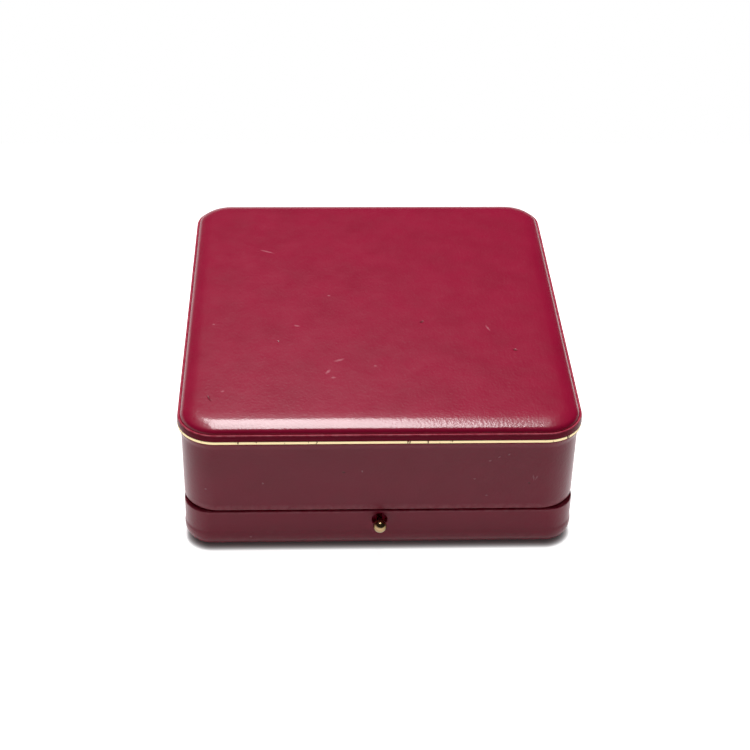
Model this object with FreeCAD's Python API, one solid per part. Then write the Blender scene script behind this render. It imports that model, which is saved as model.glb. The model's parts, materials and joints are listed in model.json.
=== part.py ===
import FreeCAD, Part
import math
import os

# A leather jewelry box in millimetres: a deep hinged lid on a shallow base.
# The origin is under the middle of the box, +Z is up and the push button faces -Y.

# Outer form of the lid, from its lower edge to the flat top
LID_WIDTH = 120.0
LID_DEPTH = 133.8
LID_WALL_HEIGHT = 25.25
LID_SETBACK = 1.0
LIP_HEIGHT = 3.6
CREASE_STEP = 0.4
CROWN_RADIUS = 6.6
CROWN_ANGLE = 50.0
TOP_CORNER_RADIUS = 6.35

# Outer form of the base
BASE_HEIGHT = 15.0
BASE_SETBACK = 0.85
BASE_CORNER_RADIUS = 8.5
BASE_EDGE_RADIUS = 5.0
SEAM_GAP = 0.3

# Leather, wood and linings
LEATHER = 0.9
RIM_ROUNDING = 0.5
BASE_WALL = 5.2
LID_WALL = 4.6
BOARD_THICKNESS = 3.0
LINING = 0.8
FLOOR_LINING = 0.6
LINING_DROP = 0.4
INNER_CORNER_RADIUS = 4.0

# Gilt line let into the lower edge of the lip
GILT_RISE = 0.2
GILT_HEIGHT = 1.1
GILT_DEPTH = 0.3

# Panel under the box, which it stands on
PANEL_PROUD = 0.3
PANEL_CLEARANCE = 0.2
PANEL_CORNER_RADIUS = 6.0
LEATHER_TURN_IN = 8.0

# Velvet platform, bracelet groove and pads
PLATFORM_DROP = 2.2
PLATFORM_BORDER = 15.0
PLATFORM_ROUNDING = 1.5
GROOVE_WIDTH = 11.0
BRACELET_PAD_CORNER = 8.0
BRACELET_PAD_RISE = 1.2
BRACELET_PAD_ROUNDING = 4.0
LID_PAD_THICKNESS = 5.0
LID_PAD_ROUNDING = 2.0
PAD_CLEARANCE = 0.3

# Butt hinges at the back, let into both rims
HINGE_SPREAD_SHARE = 0.55
HINGE_LENGTH = 22.0
HINGE_PROUD = 0.3
BARREL_RADIUS = 1.6
BARREL_CLEARANCE = 0.3
LID_KNUCKLE = 8.0
KNUCKLE_GAP = 0.15
PIN_RADIUS = 0.7
PIN_CLEARANCE = 0.05
LEAF_THICKNESS = 1.0
LEAF_REACH = 5.2
LEAF_GAP = 0.1
HINGE_SCREW_SPREAD = 13.0

# Countersunk screws
SCREW_RADIUS = 0.55
SCREW_HEAD_RADIUS = 1.1
SCREW_HEAD_HEIGHT = 0.6
SCREW_LENGTH = 4.0

# Push button and its bush
BALL_RADIUS = 2.05
BALL_STANDOFF = 2.8
BALL_CLEARANCE = 0.25
POCKET_MARGIN = 1.0
STEM_RADIUS = 0.9
STEM_CLEARANCE = 0.05
SPIGOT_RADIUS = 0.6
BUSH_WALL = 0.5

# Keeper on the lid, with its hook
KEEPER_THICKNESS = 1.0
KEEPER_WIDTH = 12.0
KEEPER_HEIGHT = 12.0
KEEPER_CLEARANCE = 0.2
KEEPER_SCREW_SPREAD = 7.0
KEEPER_SCREW_DROP = 3.0
TONGUE_WIDTH = 6.4
HOOK_REACH = 1.5
HOOK_THICKNESS = 0.7

# Latch slide, which the button pushes off the hook
LATCH_PLAY = 0.3
CATCH_PLAY = 0.1
RELEASE_MARGIN = 0.8
SLIDE_WIDTH = 6.0
SLIDE_THICKNESS = 1.2
SLIDE_CLEARANCE = 0.1
STOP_GAP = 0.05
NOSE_THICKNESS = 0.7
NOSE_CLEARANCE = 0.15
TAB_THICKNESS = 0.9
NUT_FLATS = 2.6
NUT_THICKNESS = 1.2
NUT_SIDES = 6

# Latch case, strike plate and leaf spring
CASE_WIDTH = 14.0
CASE_WALL = 0.6
CASE_CLEARANCE = 0.3
STRIKE_THICKNESS = 0.7
STRIKE_WIDTH = 25.0
STRIKE_INSET = 3.0
STRIKE_SCREW_SPREAD = 19.6
STRIKE_SCREW_INSET = 4.6
SPRING_THICKNESS = 0.3
SPRING_WIDTH = 3.0
SPRING_ROOM = 1.6
SPRING_CLEARANCE = 0.6

# Cuts run this far past the faces that they open, and edges this close lie at one height
OVERRUN = 5.0
SAME_HEIGHT = 0.001

# Heights
RIM_Z = BASE_HEIGHT
LID_Z = RIM_Z + SEAM_GAP
LIP_Z = LID_Z + LID_WALL_HEIGHT
CREASE_Z = LIP_Z + LIP_HEIGHT
TOP_Z = CREASE_Z + CROWN_RADIUS * (1 - math.cos(math.radians(CROWN_ANGLE)))
BOARD_Z = PANEL_PROUD + LEATHER
FLOOR_Z = BOARD_Z + BOARD_THICKNESS
VELVET_Z = FLOOR_Z + FLOOR_LINING
PLATFORM_Z = RIM_Z - PLATFORM_DROP
CEILING_Z = LIP_Z + LEATHER

# Insets from the outline of the lip
CROWN_INSET = CREASE_STEP + CROWN_RADIUS * math.sin(math.radians(CROWN_ANGLE))
CORNER_RADIUS = CROWN_INSET + TOP_CORNER_RADIUS
BASE_WOOD = BASE_SETBACK + LEATHER
BASE_INNER = BASE_WOOD + BASE_WALL
LID_WOOD = LID_SETBACK + LEATHER
LID_INNER = LID_WOOD + LID_WALL
PANEL_INSET = BASE_SETBACK + BASE_EDGE_RADIUS + LEATHER_TURN_IN
GROOVE_INSET = BASE_INNER + LINING + PAD_CLEARANCE + PLATFORM_BORDER

# Hinges
HINGE_SPREAD = LID_WIDTH * HINGE_SPREAD_SHARE
HINGE_Y = LID_DEPTH / 2 - BASE_SETBACK + HINGE_PROUD
HINGE_Z = RIM_Z + SEAM_GAP / 2
BASE_LEAF_TOP = HINGE_Z - LEAF_GAP / 2
BASE_LEAF_BOTTOM = BASE_LEAF_TOP - LEAF_THICKNESS
LID_LEAF_BOTTOM = HINGE_Z + LEAF_GAP / 2
LID_LEAF_TOP = LID_LEAF_BOTTOM + LEAF_THICKNESS
LEAF_FRONT = HINGE_Y - LEAF_REACH

# Latch, from the strike plate down and from the front face inwards
STRIKE_Z = RIM_Z - STRIKE_THICKNESS
NOSE_TOP = STRIKE_Z - NOSE_CLEARANCE
NOSE_BOTTOM = NOSE_TOP - NOSE_THICKNESS
HOOK_TOP = NOSE_BOTTOM - CATCH_PLAY
HOOK_BOTTOM = HOOK_TOP - HOOK_THICKNESS
BUTTON_Z = HOOK_BOTTOM - LATCH_PLAY - STEM_RADIUS
TAB_TOP = BUTTON_Z - STEM_RADIUS - LATCH_PLAY
TAB_BOTTOM = TAB_TOP - TAB_THICKNESS
CASE_FLOOR = TAB_BOTTOM - SLIDE_CLEARANCE
BUTTON_TRAVEL = HOOK_REACH - LATCH_PLAY + RELEASE_MARGIN
FRONT_Y = BASE_SETBACK - LID_DEPTH / 2
BALL_Y = FRONT_Y - BALL_STANDOFF
BUSH_Y = BASE_WOOD - LID_DEPTH / 2
KEEPER_FRONT = LID_INNER - LID_DEPTH / 2
KEEPER_BACK = KEEPER_FRONT + KEEPER_THICKNESS
HOOK_END = KEEPER_BACK + HOOK_REACH
NOSE_TIP = KEEPER_BACK + LATCH_PLAY
SLIDE_FRONT = HOOK_END + LATCH_PLAY
SLIDE_BACK = SLIDE_FRONT + SLIDE_THICKNESS
NUT_BACK = SLIDE_BACK + NUT_THICKNESS
CASE_FRONT = KEEPER_FRONT - LATCH_PLAY
CASE_BACK = NUT_BACK + BUTTON_TRAVEL + SPRING_ROOM

ALONG_X = FreeCAD.Vector(1, 0, 0)
ALONG_Y = FreeCAD.Vector(0, 1, 0)
ALONG_Z = FreeCAD.Vector(0, 0, 1)


# Shapes that the pieces share

def block(width, front, back, bottom, top, centre=0):
    corner = FreeCAD.Vector(centre - width / 2, front, bottom)
    return Part.makeBox(width, back - front, top - bottom, corner)


def rounded_block(width, depth, radius, bottom, top):
    solid = block(width, -depth / 2, depth / 2, bottom, top)
    upright = [edge for edge in solid.Edges if edge.BoundBox.ZLength > SAME_HEIGHT]
    return solid.makeFillet(radius, upright)


def plate(inset, bottom, top):
    # A plate with the outline of the lip, drawn in by an inset
    return rounded_block(LID_WIDTH - 2 * inset, LID_DEPTH - 2 * inset, CORNER_RADIUS - inset, bottom, top)


def base_plate(skin, bottom, top):
    # A plate with the outline of the base, drawn in by a skin
    inset = BASE_SETBACK + skin
    radius = BASE_CORNER_RADIUS - skin
    return rounded_block(LID_WIDTH - 2 * inset, LID_DEPTH - 2 * inset, radius, bottom, top)


def room(wall, inset, bottom, top):
    # The space inside a wooden wall, drawn in by an inset
    margin = wall + inset
    radius = INNER_CORNER_RADIUS - inset
    return rounded_block(LID_WIDTH - 2 * margin, LID_DEPTH - 2 * margin, radius, bottom, top)


def edges_at(solid, height):
    level = []
    for edge in solid.Edges:
        box = edge.BoundBox
        if abs(box.ZMin - height) < SAME_HEIGHT and abs(box.ZMax - height) < SAME_HEIGHT:
            level.append(edge)
    return level


def round_edges(solid, height, radius):
    return solid.makeFillet(radius, edges_at(solid, height))


def button_rod(radius, front, back):
    # A rod on the axis of the push button
    return Part.makeCylinder(radius, back - front, FreeCAD.Vector(0, front, BUTTON_Z), ALONG_Y)


def screw(place, direction):
    # A countersunk screw whose head lies flush at its place
    head = Part.makeCone(SCREW_HEAD_RADIUS, SCREW_RADIUS, SCREW_HEAD_HEIGHT, place, direction)
    shank = Part.makeCylinder(SCREW_RADIUS, SCREW_LENGTH, place, direction)
    return head.fuse(shank).removeSplitter()


def cut_all(solid, tools):
    for tool in tools:
        solid = solid.cut(tool)
    return solid


# Hinges

def barrel(left, right, radius):
    return Part.makeCylinder(radius, right - left, FreeCAD.Vector(left, HINGE_Y, HINGE_Z), ALONG_X)


def lid_knuckle_span(centre, margin):
    return centre - LID_KNUCKLE / 2 - margin, centre + LID_KNUCKLE / 2 + margin


def leaf_plate(centre, bottom, top):
    return block(HINGE_LENGTH, LEAF_FRONT, HINGE_Y, bottom, top, centre)


def hinge_screws(centre, height, direction):
    middle = HINGE_Y - (LEAF_REACH + BARREL_RADIUS) / 2
    places = [centre - HINGE_SCREW_SPREAD / 2, centre + HINGE_SCREW_SPREAD / 2]
    return [screw(FreeCAD.Vector(x, middle, height), direction) for x in places]


def base_screws(centre):
    return hinge_screws(centre, BASE_LEAF_TOP, -ALONG_Z)


def lid_screws(centre):
    return hinge_screws(centre, LID_LEAF_BOTTOM, ALONG_Z)


def base_leaf(centre):
    end = HINGE_LENGTH / 2
    left, right = lid_knuckle_span(centre, KNUCKLE_GAP)
    leaf = leaf_plate(centre, BASE_LEAF_BOTTOM, BASE_LEAF_TOP)
    leaf = leaf.cut(barrel(left, right, BARREL_RADIUS + BARREL_CLEARANCE))
    leaf = leaf.fuse(barrel(centre - end, left, BARREL_RADIUS))
    leaf = leaf.fuse(barrel(right, centre + end, BARREL_RADIUS))
    leaf = leaf.cut(barrel(centre - end, centre + end, PIN_RADIUS))
    return cut_all(leaf, base_screws(centre)).removeSplitter()


def lid_leaf(centre):
    end = HINGE_LENGTH / 2
    left, right = lid_knuckle_span(centre, 0)
    leaf = leaf_plate(centre, LID_LEAF_BOTTOM, LID_LEAF_TOP)
    leaf = leaf.cut(barrel(centre - end, left, BARREL_RADIUS + BARREL_CLEARANCE))
    leaf = leaf.cut(barrel(right, centre + end, BARREL_RADIUS + BARREL_CLEARANCE))
    leaf = leaf.fuse(barrel(left, right, BARREL_RADIUS))
    leaf = leaf.cut(barrel(centre - end, centre + end, PIN_RADIUS + PIN_CLEARANCE))
    return cut_all(leaf, lid_screws(centre)).removeSplitter()


def hinge_pin(centre):
    return barrel(centre - HINGE_LENGTH / 2, centre + HINGE_LENGTH / 2, PIN_RADIUS)


def hinge_centres():
    return {"left": -HINGE_SPREAD / 2, "right": HINGE_SPREAD / 2}


def hinge_recess(centre, bottom, top):
    # Room for one leaf in a rim, and for the barrel at its back
    leaf_room = leaf_plate(centre, bottom, top)
    left = centre - HINGE_LENGTH / 2 - KNUCKLE_GAP
    right = centre + HINGE_LENGTH / 2 + KNUCKLE_GAP
    return leaf_room.fuse(barrel(left, right, BARREL_RADIUS + BARREL_CLEARANCE))


def base_hinge_cuts():
    cuts = []
    for centre in hinge_centres().values():
        cuts.append(hinge_recess(centre, BASE_LEAF_BOTTOM, RIM_Z + OVERRUN))
        cuts.extend(base_screws(centre))
    return cuts


def lid_hinge_cuts():
    cuts = []
    for centre in hinge_centres().values():
        cuts.append(hinge_recess(centre, LID_Z - OVERRUN, LID_LEAF_TOP))
        cuts.extend(lid_screws(centre))
    return cuts


# Latch

def case_body(margin, top):
    # The space that the latch case takes up, with a margin round it
    wall = CASE_WALL + margin
    return block(CASE_WIDTH + 2 * margin, CASE_FRONT - wall, CASE_BACK + wall, CASE_FLOOR - wall, top)


def case_room(margin):
    return case_body(margin, RIM_Z + OVERRUN)


def strike_outline(bottom, top):
    # A plate across the rim, with a tail that covers the latch case
    rim_front = STRIKE_INSET - LID_DEPTH / 2
    rim_back = BASE_INNER + LINING - LID_DEPTH / 2
    ears = block(STRIKE_WIDTH, rim_front, rim_back, bottom, top)
    tail = block(CASE_WIDTH, rim_front, CASE_BACK + CASE_WALL, bottom, top)
    return ears.fuse(tail).removeSplitter()


def strike_screw_list():
    y = STRIKE_SCREW_INSET - LID_DEPTH / 2
    places = [-STRIKE_SCREW_SPREAD / 2, STRIKE_SCREW_SPREAD / 2]
    return [screw(FreeCAD.Vector(x, y, RIM_Z), -ALONG_Z) for x in places]


def keeper_screw_list():
    z = LID_Z + KEEPER_HEIGHT - KEEPER_SCREW_DROP
    places = [-KEEPER_SCREW_SPREAD / 2, KEEPER_SCREW_SPREAD / 2]
    return [screw(FreeCAD.Vector(x, KEEPER_BACK, z), -ALONG_Y) for x in places]


def push_button():
    ball = Part.makeSphere(BALL_RADIUS, FreeCAD.Vector(0, BALL_Y, BUTTON_Z))
    stem = button_rod(STEM_RADIUS, BALL_Y, SLIDE_FRONT)
    spigot = button_rod(SPIGOT_RADIUS, BALL_Y, NUT_BACK)
    return ball.fuse(stem).fuse(spigot).removeSplitter()


def ball_pocket():
    # The hole that the ball sinks into when it is pressed
    bottom = BALL_Y + BUTTON_TRAVEL + BALL_RADIUS + POCKET_MARGIN
    return button_rod(BALL_RADIUS + BALL_CLEARANCE, FRONT_Y - OVERRUN, bottom)


def bush_body():
    return button_rod(BALL_RADIUS + BALL_CLEARANCE + BUSH_WALL, BUSH_Y, CASE_FRONT - CASE_WALL)


def button_bush():
    bush = bush_body().common(base_form(LEATHER))
    bush = bush.cut(ball_pocket())
    return bush.cut(button_rod(STEM_RADIUS + STEM_CLEARANCE, BUSH_Y, CASE_BACK))


def latch_slide():
    back_plate = block(SLIDE_WIDTH, SLIDE_FRONT, SLIDE_BACK, TAB_BOTTOM, NOSE_TOP)
    nose = block(SLIDE_WIDTH, NOSE_TIP, SLIDE_BACK, NOSE_BOTTOM, NOSE_TOP)
    stop_tab = block(SLIDE_WIDTH, CASE_FRONT + STOP_GAP, SLIDE_BACK, TAB_BOTTOM, TAB_TOP)
    slide = back_plate.fuse(nose).fuse(stop_tab).removeSplitter()
    return slide.cut(button_rod(SPIGOT_RADIUS, SLIDE_FRONT, SLIDE_BACK))


def latch_nut():
    corner = NUT_FLATS / 2 / math.cos(math.pi / NUT_SIDES)
    points = []
    for side in range(NUT_SIDES + 1):
        turn = 2 * math.pi * side / NUT_SIDES
        x = corner * math.cos(turn)
        z = BUTTON_Z + corner * math.sin(turn)
        points.append(FreeCAD.Vector(x, SLIDE_BACK, z))
    nut = Part.Face(Part.makePolygon(points)).extrude(ALONG_Y * NUT_THICKNESS)
    return nut.cut(button_rod(SPIGOT_RADIUS, SLIDE_BACK, NUT_BACK))


def latch_case():
    outside = case_body(0, STRIKE_Z)
    inside = block(CASE_WIDTH - 2 * CASE_WALL, CASE_FRONT, CASE_BACK, CASE_FLOOR, RIM_Z)
    stem_hole = button_rod(STEM_RADIUS + LATCH_PLAY, FRONT_Y, CASE_BACK)
    return outside.cut(inside).cut(stem_hole)


def latch_spring():
    # A bowed strip that bears on the back of the case and on the nut
    half_span = CASE_WIDTH / 2 - CASE_WALL - SPRING_CLEARANCE
    apex = NUT_BACK + STOP_GAP
    bow = CASE_BACK - apex
    radius = (half_span ** 2 + bow ** 2) / (2 * bow)
    centre = FreeCAD.Vector(0, apex + radius, BUTTON_Z - SPRING_WIDTH / 2)
    outside = Part.makeCylinder(radius, SPRING_WIDTH, centre, ALONG_Z)
    strip = outside.cut(Part.makeCylinder(radius - SPRING_THICKNESS, SPRING_WIDTH, centre, ALONG_Z))
    return strip.common(block(CASE_WIDTH, SLIDE_BACK, CASE_BACK, CASE_FLOOR, STRIKE_Z))


def strike_plate():
    slot_width = TONGUE_WIDTH + 2 * LATCH_PLAY
    slot = block(slot_width, KEEPER_FRONT - LATCH_PLAY, HOOK_END + LATCH_PLAY, STRIKE_Z, RIM_Z)
    plate_with_slot = strike_outline(STRIKE_Z, RIM_Z).cut(slot)
    return cut_all(plate_with_slot, strike_screw_list())


def keeper():
    face = block(KEEPER_WIDTH, KEEPER_FRONT, KEEPER_BACK, LID_Z, LID_Z + KEEPER_HEIGHT)
    tongue = block(TONGUE_WIDTH, KEEPER_FRONT, KEEPER_BACK, HOOK_BOTTOM, LID_Z)
    hook = block(TONGUE_WIDTH, KEEPER_FRONT, HOOK_END, HOOK_BOTTOM, HOOK_TOP)
    plate_with_hook = face.fuse(tongue).fuse(hook).removeSplitter()
    return cut_all(plate_with_hook, keeper_screw_list())


# Base

def base_form(skin):
    # The rounded outside of the base, drawn in by a skin
    form = base_plate(skin, PANEL_PROUD + skin, RIM_Z - skin)
    return round_edges(form, PANEL_PROUD + skin, BASE_EDGE_RADIUS - skin)


def panel_block(margin, bottom, top):
    inset = PANEL_INSET - margin
    radius = PANEL_CORNER_RADIUS + margin
    return rounded_block(LID_WIDTH - 2 * inset, LID_DEPTH - 2 * inset, radius, bottom, top)


def latch_cuts():
    # What the latch takes out of the front of the base
    return [case_room(0), bush_body(), strike_outline(STRIKE_Z, RIM_Z + OVERRUN)] + strike_screw_list()


def base_leather():
    cover = round_edges(base_form(0), RIM_Z, RIM_ROUNDING).cut(base_form(LEATHER))
    cover = cover.cut(room(BASE_INNER, 0, FLOOR_Z, RIM_Z + OVERRUN))
    cover = cover.cut(panel_block(PANEL_CLEARANCE, 0, BOARD_Z))
    cover = cover.cut(ball_pocket())
    return cut_all(cover, base_hinge_cuts() + latch_cuts())


def base_board():
    return base_form(LEATHER).common(base_plate(0, BOARD_Z, FLOOR_Z))


def base_frame():
    frame = base_form(LEATHER).cut(base_plate(0, 0, FLOOR_Z))
    frame = frame.cut(room(BASE_INNER, 0, FLOOR_Z, RIM_Z))
    return cut_all(frame, base_hinge_cuts() + latch_cuts())


def underside_panel():
    return panel_block(0, 0, BOARD_Z)


def base_wall_lining():
    top = RIM_Z - LINING_DROP
    lining = room(BASE_INNER, 0, FLOOR_Z, top).cut(room(BASE_INNER, LINING, FLOOR_Z, top))
    return cut_all(lining, [case_room(0), strike_outline(STRIKE_Z, RIM_Z)])


def base_floor_lining():
    return room(BASE_INNER, LINING, FLOOR_Z, VELVET_Z)


def groove_block(inset, radius, bottom, top):
    margin = GROOVE_INSET + inset
    return rounded_block(LID_WIDTH - 2 * margin, LID_DEPTH - 2 * margin, radius, bottom, top)


def velvet_platform():
    opening_corner = BRACELET_PAD_CORNER + GROOVE_WIDTH
    platform = room(BASE_INNER, LINING + PAD_CLEARANCE, VELVET_Z, PLATFORM_Z)
    platform = platform.cut(groove_block(0, opening_corner, VELVET_Z, PLATFORM_Z))
    platform = round_edges(platform, PLATFORM_Z, PLATFORM_ROUNDING)
    return platform.cut(case_room(CASE_CLEARANCE))


def bracelet_pad():
    top = PLATFORM_Z + BRACELET_PAD_RISE
    pad = groove_block(GROOVE_WIDTH, BRACELET_PAD_CORNER, VELVET_Z, top)
    return round_edges(pad, top, BRACELET_PAD_ROUNDING)


# Lid

def crown_block(skin):
    # The full rounded top, before the lip cuts off its skirt
    inset = CROWN_INSET - (CROWN_RADIUS - skin)
    block_top = TOP_Z - skin
    crown = plate(inset, TOP_Z - 2 * CROWN_RADIUS, block_top)
    return round_edges(crown, block_top, CROWN_RADIUS - skin)


def lip_form(skin):
    # The crowned top and the lip below it, drawn in by a skin
    crown = crown_block(skin).common(plate(CREASE_STEP + skin, LIP_Z + skin, TOP_Z))
    return crown.fuse(plate(skin, LIP_Z + skin, CREASE_Z - skin)).removeSplitter()


def gilt_line():
    bottom = LIP_Z + GILT_RISE
    top = bottom + GILT_HEIGHT
    return plate(0, bottom, top).cut(plate(GILT_DEPTH, bottom, top))


def lid_top_board():
    return lip_form(LEATHER)


def lid_top_leather():
    cover = lip_form(0).cut(lip_form(LEATHER))
    cover = cover.cut(plate(LID_WOOD, LIP_Z, CEILING_Z))
    return cover.cut(gilt_line())


def lid_wall_leather():
    cover = round_edges(plate(LID_SETBACK, LID_Z, LIP_Z), LID_Z, RIM_ROUNDING)
    cover = cover.cut(plate(LID_WOOD, LID_Z + LEATHER, LIP_Z))
    cover = cover.cut(room(LID_INNER, 0, LID_Z, LIP_Z))
    return cut_all(cover, lid_hinge_cuts())


def lid_frame():
    frame = plate(LID_WOOD, LID_Z + LEATHER, CEILING_Z).cut(room(LID_INNER, 0, LID_Z, CEILING_Z))
    return cut_all(frame, lid_hinge_cuts() + keeper_screw_list())


def lid_wall_lining():
    bottom = LID_Z + LINING_DROP
    lining = room(LID_INNER, 0, bottom, CEILING_Z).cut(room(LID_INNER, LINING, bottom, CEILING_Z))
    keeper_top = LID_Z + KEEPER_HEIGHT + KEEPER_CLEARANCE
    gap_width = KEEPER_WIDTH + 2 * KEEPER_CLEARANCE
    return lining.cut(block(gap_width, KEEPER_FRONT, KEEPER_BACK, LID_Z, keeper_top))


def lid_pad():
    bottom = CEILING_Z - LID_PAD_THICKNESS
    pad = room(LID_INNER, LINING + PAD_CLEARANCE, bottom, CEILING_Z)
    return round_edges(pad, bottom, LID_PAD_ROUNDING)


# Nodes, one file each; a group of like screws is one node of separate solids

def all_nodes():
    nodes = {
        "base_board": base_board(),
        "base_frame": base_frame(),
        "base_leather": base_leather(),
        "underside_panel": underside_panel(),
        "base_wall_lining": base_wall_lining(),
        "base_floor_lining": base_floor_lining(),
        "velvet_platform": velvet_platform(),
        "bracelet_pad": bracelet_pad(),
        "lid_frame": lid_frame(),
        "lid_top_board": lid_top_board(),
        "lid_top_leather": lid_top_leather(),
        "lid_wall_leather": lid_wall_leather(),
        "gilt_line": gilt_line(),
        "lid_wall_lining": lid_wall_lining(),
        "lid_pad": lid_pad(),
        "keeper": keeper(),
        "keeper_screws": Part.makeCompound(keeper_screw_list()),
        "push_button": push_button(),
        "latch_slide": latch_slide(),
        "latch_nut": latch_nut(),
        "button_bush": button_bush(),
        "latch_case": latch_case(),
        "latch_spring": latch_spring(),
        "strike_plate": strike_plate(),
        "strike_screws": Part.makeCompound(strike_screw_list()),
    }
    base_group = []
    lid_group = []
    for side, centre in hinge_centres().items():
        nodes[side + "_hinge_base_leaf"] = base_leaf(centre)
        nodes[side + "_hinge_lid_leaf"] = lid_leaf(centre)
        nodes[side + "_hinge_pin"] = hinge_pin(centre)
        base_group.extend(base_screws(centre))
        lid_group.extend(lid_screws(centre))
    nodes["base_hinge_screws"] = Part.makeCompound(base_group)
    nodes["lid_hinge_screws"] = Part.makeCompound(lid_group)
    return nodes


os.makedirs("parts", exist_ok=True)
for node, shape in all_nodes().items():
    shape.exportStep("parts/" + node + ".step")
    print(node, "solids:", len(shape.Solids), "volume:", round(shape.Volume), "valid:", shape.isValid())
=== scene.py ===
import json
import math

import bmesh
import bpy
from mathutils import Matrix, Vector, noise


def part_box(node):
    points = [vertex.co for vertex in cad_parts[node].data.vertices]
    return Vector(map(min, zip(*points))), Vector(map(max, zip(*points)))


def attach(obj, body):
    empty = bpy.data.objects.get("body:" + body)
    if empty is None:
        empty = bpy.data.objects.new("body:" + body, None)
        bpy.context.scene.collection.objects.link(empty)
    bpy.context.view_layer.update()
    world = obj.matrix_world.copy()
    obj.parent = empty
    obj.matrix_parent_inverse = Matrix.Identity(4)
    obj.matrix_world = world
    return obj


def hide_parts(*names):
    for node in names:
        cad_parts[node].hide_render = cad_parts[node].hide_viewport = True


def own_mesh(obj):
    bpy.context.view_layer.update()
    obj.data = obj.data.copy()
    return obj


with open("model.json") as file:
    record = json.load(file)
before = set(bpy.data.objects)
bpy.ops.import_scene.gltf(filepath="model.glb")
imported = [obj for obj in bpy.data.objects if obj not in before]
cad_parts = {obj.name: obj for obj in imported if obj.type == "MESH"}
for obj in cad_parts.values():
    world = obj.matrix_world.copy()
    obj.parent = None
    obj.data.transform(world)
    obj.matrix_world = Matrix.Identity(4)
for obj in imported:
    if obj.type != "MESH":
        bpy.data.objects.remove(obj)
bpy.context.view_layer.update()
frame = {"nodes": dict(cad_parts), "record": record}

# A leather jewelry box in metres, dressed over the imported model.
# +Z is up and the push button faces -Y. Insets are measured inwards from the outline of the lip.

# Angles in degrees, directions, and the signs of the two sides and of the four corners in order
RIGHT_ANGLE = 90.0
HALF_TURN = 180.0
UP = Vector((0, 0, 1))
DOWN = Vector((0, 0, -1))
FRONT = Vector((0, -1, 0))
BACK = Vector((0, 1, 0))
SIDES = (-1, 1)
CORNERS = ((-1, -1), (1, -1), (1, 1), (-1, 1))

# Shares: all, from nothing to all, and from all to nothing
FULL = 1.0
WHOLE = (0.0, 1.0)
FADING = (1.0, 0.0)

# Outer form
lip_low, lip_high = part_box("lid_top_leather")
wall_low, wall_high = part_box("lid_wall_leather")
base_low, base_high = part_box("base_leather")
gilt_low, gilt_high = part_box("gilt_line")
HALF_X = lip_high.x
HALF_Y = lip_high.y
CORNER_RADIUS = 0.0118
BASE_CORNER = 0.0085
LEATHER = 0.0009
LID_SETBACK = HALF_X - wall_high.x
BASE_SETBACK = HALF_X - base_high.x
LID_INNER = HALF_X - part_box("lid_wall_lining")[1].x
BASE_INNER = HALF_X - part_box("base_wall_lining")[1].x
INNER_CORNER = 0.004
RIM_ROUNDING = 0.0006

# Lid's wall, which flares out under the lip
FLARE_DEPTH = 0.0003
FLARE_HEIGHT = 0.0024

# Base: its rounded bottom edge, and the soft step above it where the leather stands out
BASE_EDGE_RADIUS = 0.005
STEP_Z = 0.0067
STEP_HEIGHT = 0.0013
STEP_DEPTH = 0.00022

# Crown of the lid: arcs from the flat top down to the crease, by radius and by tilt from upright
CROWN_RADII = (0.060, 0.01073, 0.00228)
CROWN_TILTS = (0.0, 3.0, 24.0, 75.0)
CREASE_INSET = 0.00086

# Lip below the crease, with the fine bead on its upper edge and the gilt line let into its lower one
LIP_RADIUS = 0.0103
LIP_TILTS = (80.0, 90.0)
LIP_ROUNDING = 0.00045
BEAD_RADIUS = 0.00028
BEAD_TILT = -50.0
GILT_DEPTH = 0.0003
GILT_ROUNDING = 0.00015
GILT_LIFT = 0.0003
GILT_FOOT = gilt_low.z + GILT_LIFT
GILT_HEAD = gilt_high.z + GILT_LIFT

# How much pale edge colour each edge takes, from 0 to 1. It is wear, and on the bead and the lid's foot it
# is also a painted highlight line
BEAD_WEAR_AND_HIGHLIGHT = 1.0
LIP_WEAR = 0.2
FOOT_WEAR_AND_HIGHLIGHT = 0.8
RIM_WEAR = 0.5
BOTTOM_WEAR = 0.15

# Steps round each ring and along each rounding
ARC_STEPS = 10
SIDE_STEPS = 60
CROWN_STEPS = 12
ROUND_STEPS = 8
BASE_EDGE_STEPS = 16
STRAIGHT_STEPS = 12
BEVEL_STEPS = 2
ROD_SIDES = 64
SCREW_SIDES = 32
SMOOTH_ANGLE = math.radians(35.0)

# How uneven each kind of surface is
LEATHER_WAVE = 0.00005
LEATHER_WAVE_SIZE = 0.014
CLOTH_WAVE = 0.00012
CLOTH_WAVE_SIZE = 0.006

# Linings, platform and pads
LINING = 0.0008
PAD_CLEARANCE = 0.0003
PLATFORM_ROUNDING = 0.0015
GROOVE_WIDTH = 0.011
BRACELET_INSET = HALF_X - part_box("bracelet_pad")[1].x
BRACELET_CORNER = 0.008
GROOVE_INSET = BRACELET_INSET - GROOVE_WIDTH
GROOVE_CORNER = BRACELET_CORNER + GROOVE_WIDTH
PANEL_INSET = HALF_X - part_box("underside_panel")[1].x
PANEL_CORNER = 0.006
PANEL_CLEARANCE = 0.0002
PANEL_ROUNDING = 0.0002
FLOOR_CLOTH_EDGE = 0.0002
KEEPER_PLAY = 0.0002
OVERRUN = 0.005

# Pads: the smaller shape that each starts from, its crown, and how far it may swell
PAD_SHRINK = 0.0012
PAD_EDGE = 0.0012
PAD_CROWN = 0.0016
PAD_VOXEL = 0.0022
PAD_PRESSURE = 4.0
PAD_MASS = 0.0002
PAD_FRAMES = 20
PAD_CAP = 0.0015
GATHER_DEPTH = 0.0003
GATHER_LENGTH = 0.0055
GATHER_REACH = 0.007

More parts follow.
